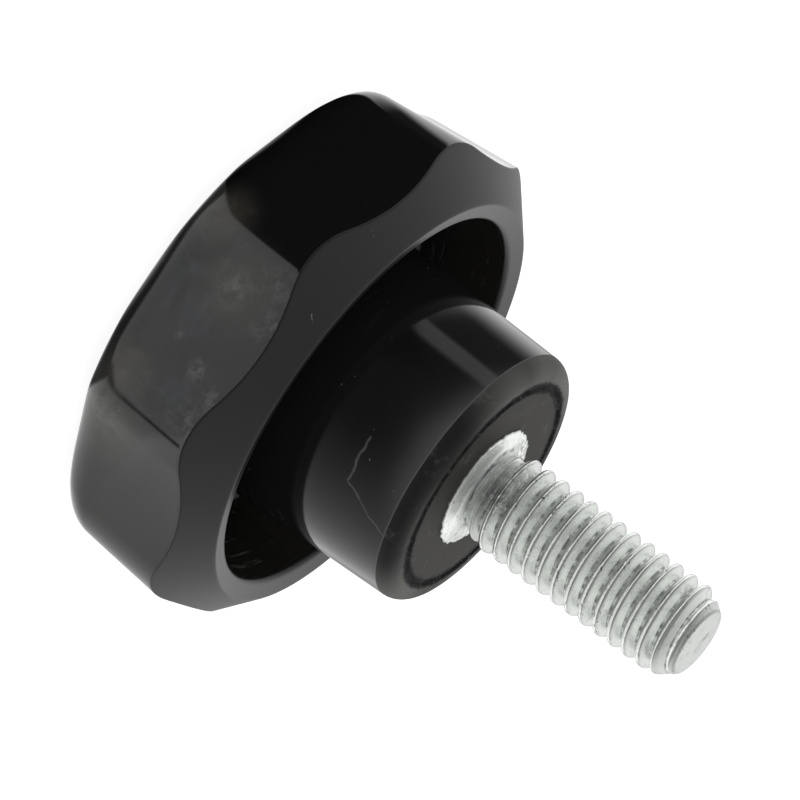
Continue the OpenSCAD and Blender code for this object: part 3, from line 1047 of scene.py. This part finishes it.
# Dark felt low round the knob, seen in reflections only. Parts of rings: inner and outer radius
# and soft edge in millimetres, then where it rises and falls in degrees from the front, and
# how dense it is
FELT_RINGS = (
    (46, 75, 6, -137, -105, -80, -71, 0.95),
    (46, 75, 6, -71, -59, 5, 165, 0.98),
    (46, 75, 6, -84, -78, -60, -54, 0.5),
    (17, 45, 2, 55, 75, 125, 140, 0.3),
    (28, 700, 4, 140, 155, 190, 200, 0.55),
    (28, 700, 4, -200, -190, -160, -145, 0.55),
)

# Bars of the felt: middle, half sizes and soft edge in millimetres, turn in degrees, density
FELT_BARS = (
    (25, -25.4, 20, 20.55, 0.35, 73, 1.0),
    (22, -32.6, 23, 13.4, 2.5, 73, 0.98),
    # The next two bars are painted shade: dark felt where the knob's contact shadow shows in reflections
    # near its foot.
    (-5.85, -9.5, 14.15, 4.53, 0.35, -18.4, 0.93),
    (19.0, -10.9, 8.2, 0.7, 0.7, 0, 0.93),
    (25, 7, 20, 13, 1.0, 73, 0.3),
)


def stage_camera(s):
    """Camera at its turn, height and roll, aimed at the middle of the rim."""
    data = bpy.data.cameras.new("camera")
    camera = bpy.data.objects.new("camera", data)
    bpy.context.collection.objects.link(camera)
    a, e = s.azimuth, s.elevation
    back = Vector((math.sin(a) * math.cos(e), -math.cos(a) * math.cos(e), math.sin(e)))
    level = Vector((math.cos(a), math.sin(a), 0))
    upright = back.cross(level)
    right = level * math.cos(s.roll) + upright * math.sin(s.roll)
    up = upright * math.cos(s.roll) - level * math.sin(s.roll)
    rim = Vector((0, 0, bpy.context.scene.star_knob_head.head_depth))
    place = rim + back * s.distance + right * s.shift_right + up * s.shift_up
    turn = Matrix((right, up, back)).transposed().to_4x4()
    camera.matrix_world = Matrix.Translation(place) @ turn
    data.lens = data.sensor_width * s.distance / s.frame_w
    data.clip_start = s.distance * NEAR_CLIP
    data.clip_end = s.floor_w * FAR_CLIP
    bpy.context.scene.camera = camera


def bare_material(name):
    """A material with no nodes in it yet, and its tree."""
    material = bpy.data.materials.new(name)
    material.use_nodes = True
    material.node_tree.nodes.clear()
    return material, material.node_tree


def matt(tree, grey):
    """A matt shader in a shade of grey."""
    shader = tree.nodes.new("ShaderNodeBsdfDiffuse")
    fill(shader.inputs, {"Color": (grey, grey, grey, 1)})
    return shader.outputs[0]


def floor_material():
    """A pale matt floor that reads as plain white and still takes the knob's shadow."""
    material, tree = bare_material("pale_floor")
    rays = source(tree, "LightPath")
    seen = most(rays["Is Camera Ray"], rays["Is Glossy Ray"], rays["Is Transmission Ray"])
    glow = node("Emission", {"Color": WHITE, "Strength": times(seen, FLOOR_GLOW)})[0]
    both = node("AddShader", {0: matt(tree, FLOOR_GREY), 1: glow})[0]
    node("OutputMaterial", {"Surface": both})
    return material


def facing(towards, azimuth, elevation):
    """How far a direction in the sky faces a place in it: 1 at the place, 0 square to it."""
    middle = (math.cos(azimuth) * math.cos(elevation), math.sin(azimuth) * math.cos(elevation),
              math.sin(elevation))
    return node("VectorMath", {0: towards, 1: middle}, operation="DOT_PRODUCT")["Value"]


def choose(ray, other, value):
    """A value for one kind of ray, and another for the rest."""
    return node("Mix", {0: ray, 2: other, 3: value}, data_type="FLOAT")[0]


def sky(s):
    """A soft studio sky: white to the camera, even as light, brighter to one side in reflections."""
    world = bpy.data.worlds.new("studio")
    bpy.context.scene.world = world
    world.use_nodes = True
    tree = world.node_tree
    rays = source(tree, "LightPath")
    side = facing(source(tree, "TexCoord")["Generated"], s.bright_side, s.bright_rise)
    broad = most(plus(times(side, SKY_SLOPE), SKY_EVEN), SKY_LEAST)
    reflected = plus(broad, ease(side, SKY_FROM, 1.0, 0.0, SKY_BRIGHT))
    strength = choose(rays["Is Glossy Ray"], s.light, reflected)
    strength = choose(rays["Is Camera Ray"], strength, 1.0)
    fill(tree.nodes["Background"].inputs, {"Color": WHITE, "Strength": strength})


def felt_material(front):
    """Black felt in rings and bars round the knob, and nothing between them."""
    material, tree = bare_material("black_felt")
    place = in_millimetres(tree)
    radius = axis_distance(place)[0]
    ahead = split(stretch(place, (1, 1, 1), (0, 0, -front)))
    turn = times(bearing(ahead), math.degrees(1))
    covers = []
    for inner, outer, edge, rise, risen, fall, fallen, density in FELT_RINGS:
        ring = across(radius, inner, outer, edge)
        covers.append(times(ring, between(turn, rise, risen, fall, fallen), density))
    clear = ease(radius, *FELT_CLEAR)
    for x, y, half_x, half_y, edge, degrees, density in FELT_BARS:
        parts = split(stretch(place, (1, 1, 1), (0, 0, math.radians(degrees))))
        along = across(parts[0], x - half_x, x + half_x, edge)
        aside = across(parts[1], y - half_y, y + half_y, edge)
        covers.append(times(along, aside, clear, density))
    nothing = source(tree, "BsdfTransparent")[0]
    felt = node("MixShader", {0: most(*covers), 1: nothing, 2: matt(tree, FELT_GREY)})[0]
    node("OutputMaterial", {"Surface": felt})
    return material


def lay_felt(s):
    """A sheet just above the floor that carries the felt."""
    felt = new_plane("felt", s.floor_w / 2, FELT_HIGH)
    felt.data.materials.append(felt_material(s.azimuth - math.pi / 2))
    felt.visible_camera = felt.visible_diffuse = felt.visible_shadow = False
    felt.visible_transmission = felt.visible_volume_scatter = False


class STARKNOB_OT_stage(bpy.types.Operator):
    """Set the floor, the light and the camera"""
    bl_idname = "star_knob.stage"
    bl_label = "Stage"

    def execute(self, context):
        s = context.scene.star_knob_stage
        floor = new_plane("floor", s.floor_w)
        floor.data.materials.append(floor_material())
        lay_felt(s)
        sky(s)
        stage_camera(s)
        context.scene.view_settings.view_transform = "Standard"
        return {"FINISHED"}


class STARKNOB_PT_panel(bpy.types.Panel):
    """Lists the steps that build the star knob"""
    bl_label = "Star Knob"
    bl_idname = "STARKNOB_PT_panel"
    bl_space_type = "VIEW_3D"
    bl_region_type = "UI"
    bl_category = "Star Knob"

    def draw(self, context):
        for operator in (STARKNOB_OT_head, STARKNOB_OT_stud, STARKNOB_OT_stage):
            self.layout.operator(operator.bl_idname)


GROUPS = {
    "star_knob_head": StarKnobHeadSizes,
    "star_knob_stud": StarKnobStudSizes,
    "star_knob_colours": StarKnobColours,
    "star_knob_stage": StarKnobStageSizes,
}
CLASSES = (*GROUPS.values(), STARKNOB_OT_head, STARKNOB_OT_stud, STARKNOB_OT_stage,
           STARKNOB_PT_panel)


def register():
    for cls in CLASSES:
        bpy.utils.register_class(cls)
    for name, group in GROUPS.items():
        setattr(bpy.types.Scene, name, PointerProperty(type=group))


def unregister():
    for name in GROUPS:
        delattr(bpy.types.Scene, name)
    for cls in reversed(CLASSES):
        bpy.utils.unregister_class(cls)


def main():
    register()
    bpy.ops.star_knob.head()
    bpy.ops.star_knob.stud()
    bpy.ops.star_knob.stage()


if __name__ == "__main__":
    main()
